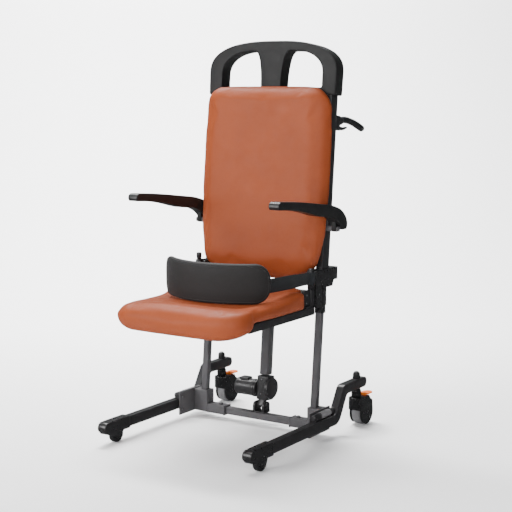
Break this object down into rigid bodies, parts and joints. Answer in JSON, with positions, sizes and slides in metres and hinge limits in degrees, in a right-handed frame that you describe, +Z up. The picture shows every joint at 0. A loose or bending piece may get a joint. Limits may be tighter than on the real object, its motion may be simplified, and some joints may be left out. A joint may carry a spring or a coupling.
{
  "type": "electric lift transfer chair",
  "caption": "Wheeled transfer chair with a lifting, side-swinging upholstered seat, padded lap belt, flip-up armrests and folding side legs.",
  "frame": {"origin": "on the floor, below the middle of the chair's overall box", "axes": "+X to the seated person's left, +Y to the rear, +Z up; the seat faces -Y"},
  "size_m": [0.5345, 0.7054, 1.1354],
  "materials": {
    "black_paint": "satin",
    "black_plastic": "satin",
    "panel_board": "matte",
    "charcoal_paint": "satin",
    "charcoal_plastic": "satin",
    "orange_brown_leather": "satin",
    "orange_plastic": "satin",
    "belt_cloth": "matte",
    "black_tread": "matte",
    "grey_tread": "matte",
    "steel": "satin",
    "webbing": "matte"
  },
  "bodies": {
    "base": {"actuator_foot": "black_paint", "corner_bracket_left": "charcoal_paint", "corner_bracket_right": "charcoal_paint", "crossbar": "charcoal_paint", "foot_pin": "steel", "gearbox_housing": "black_plastic", "guide_post_left": "charcoal_paint", "guide_post_right": "charcoal_paint", "leg_hinge_pin_left": "steel", "leg_hinge_pin_right": "steel", "lift_column": "charcoal_paint", "lift_motor": "charcoal_plastic"},
    "leg_left": {"caster_stem_left": "black_paint", "leg_cap_left": "black_plastic", "leg_tube_left": "black_paint", "swivel_head_left": "steel"},
    "leg_right": {"caster_stem_right": "black_paint", "leg_cap_right": "black_plastic", "leg_tube_right": "black_paint", "swivel_head_right": "steel"},
    "front_wheel_left": {"front_wheel_left": "black_tread"},
    "front_wheel_right": {"front_wheel_right": "black_tread"},
    "caster_left": {"caster_fork_left": "black_plastic"},
    "caster_right": {"caster_fork_right": "black_plastic"},
    "rear_wheel_left": {"rear_hub_left": "black_plastic", "rear_tyre_left": "grey_tread"},
    "rear_wheel_right": {"rear_hub_right": "black_plastic", "rear_tyre_right": "grey_tread"},
    "brake_left": {"brake_pedal_left": "orange_plastic"},
    "brake_right": {"brake_pedal_right": "orange_plastic"},
    "carriage": {"arm_bracket_left": "black_paint", "arm_bracket_right": "black_paint", "back_cushion": "orange_brown_leather", "back_panel": "panel_board", "carriage_beam": "black_paint", "carriage_bracket_left": "black_plastic", "carriage_bracket_right": "black_plastic", "control_box": "black_plastic", "guide_sleeve_left": "black_plastic", "guide_sleeve_right": "black_plastic", "lift_piston": "steel", "push_grip_left": "black_plastic", "push_grip_right": "black_plastic", "seat_hinge_pin": "steel", "top_handle": "black_plastic", "upright_left": "black_paint", "upright_right": "black_paint"},
    "armrest_left": {"armrest_left": "black_plastic"},
    "armrest_right": {"armrest_right": "black_plastic"},
    "push_lever_left": {"push_lever_left": "black_plastic"},
    "push_lever_right": {"push_lever_right": "black_plastic"},
    "seat": {"seat_board": "panel_board", "seat_catch": "black_paint", "seat_cushion": "orange_brown_leather", "seat_frame": "black_paint", "seat_hinge_leaf": "black_paint"},
    "latch": {"seat_latch": "black_plastic"},
    "belt": {"belt_pad": "belt_cloth", "belt_strap_left": "webbing", "belt_strap_right": "webbing"}
  },
  "joints": [
    {"name": "lift", "type": "slide", "parent": "base", "child": "carriage", "axis": [0, 0.0916, 0.9958], "range_m": [0, 0.2]},
    {"name": "leg_fold_left", "type": "hinge", "parent": "base", "child": "leg_left", "pos_m": [0.2415, 0.055, 0.075], "axis": [0, -1, 0], "range_deg": [0, 90]},
    {"name": "front_wheel_spin_left", "type": "hinge", "parent": "leg_left", "child": "front_wheel_left", "pos_m": [0.2456, -0.289, 0.024], "axis": [1, 0, 0], "continuous": true},
    {"name": "caster_swivel_left", "type": "hinge", "parent": "leg_left", "child": "caster_left", "pos_m": [0.2456, 0.2395, 0.09], "axis": [0, 0, 1], "continuous": true},
    {"name": "rear_wheel_spin_left", "type": "hinge", "parent": "caster_left", "child": "rear_wheel_left", "pos_m": [0.2484, 0.267, 0.0375], "axis": [1, 0, 0], "continuous": true},
    {"name": "brake_press_left", "type": "hinge", "parent": "caster_left", "child": "brake_left", "pos_m": [0.2456, 0.2745, 0.0845], "axis": [-1, 0, 0], "range_deg": [0, 8]},
    {"name": "armrest_raise_left", "type": "hinge", "parent": "carriage", "child": "armrest_left", "pos_m": [0.2375, 0.1182, 0.6045], "axis": [-1, 0, 0], "range_deg": [0, 90]},
    {"name": "push_lever_squeeze_left", "type": "hinge", "parent": "carriage", "child": "push_lever_left", "pos_m": [0.195, 0.194, 0.889], "axis": [1, 0, 0], "range_deg": [0, 8], "stiffness_Nm_per_rad": 0.4, "springref_deg": -8.59},
    {"name": "leg_fold_right", "type": "hinge", "parent": "base", "child": "leg_right", "pos_m": [-0.2415, 0.055, 0.075], "axis": [0, 1, 0], "range_deg": [0, 90]},
    {"name": "front_wheel_spin_right", "type": "hinge", "parent": "leg_right", "child": "front_wheel_right", "pos_m": [-0.2456, -0.289, 0.024], "axis": [1, 0, 0], "continuous": true},
    {"name": "caster_swivel_right", "type": "hinge", "parent": "leg_right", "child": "caster_right", "pos_m": [-0.2456, 0.2395, 0.09], "axis": [0, 0, 1], "continuous": true},
    {"name": "rear_wheel_spin_right", "type": "hinge", "parent": "caster_right", "child": "rear_wheel_right", "pos_m": [-0.2428, 0.267, 0.0375], "axis": [1, 0, 0], "continuous": true},
    {"name": "brake_press_right", "type": "hinge", "parent": "caster_right", "child": "brake_right", "pos_m": [-0.2456, 0.2745, 0.0845], "axis": [-1, 0, 0], "range_deg": [0, 8]},
    {"name": "armrest_raise_right", "type": "hinge", "parent": "carriage", "child": "armrest_right", "pos_m": [-0.2375, 0.1182, 0.6045], "axis": [-1, 0, 0], "range_deg": [0, 90]},
    {"name": "push_lever_squeeze_right", "type": "hinge", "parent": "carriage", "child": "push_lever_right", "pos_m": [-0.195, 0.194, 0.889], "axis": [1, 0, 0], "range_deg": [0, 8], "stiffness_Nm_per_rad": 0.4, "springref_deg": -8.59},
    {"name": "seat_swing", "type": "hinge", "parent": "carriage", "child": "seat", "pos_m": [0.1965, 0.053, 0.38], "axis": [0, 0, 1], "range_deg": [0, 90]},
    {"name": "belt_swing", "type": "hinge", "parent": "carriage", "child": "belt", "pos_m": [0.1965, 0.053, 0.46], "axis": [0, 0, 1], "range_deg": [0, 90]},
    {"name": "latch_pull", "type": "slide", "parent": "carriage", "child": "latch", "axis": [0, 0, 1], "range_m": [0, 0.018], "stiffness_N_per_m": 250, "springref_m": -0.01}
  ],
  "couplings": [
    {"joint": "belt_swing", "follows": "seat_swing", "ratio": 1}
  ]
}
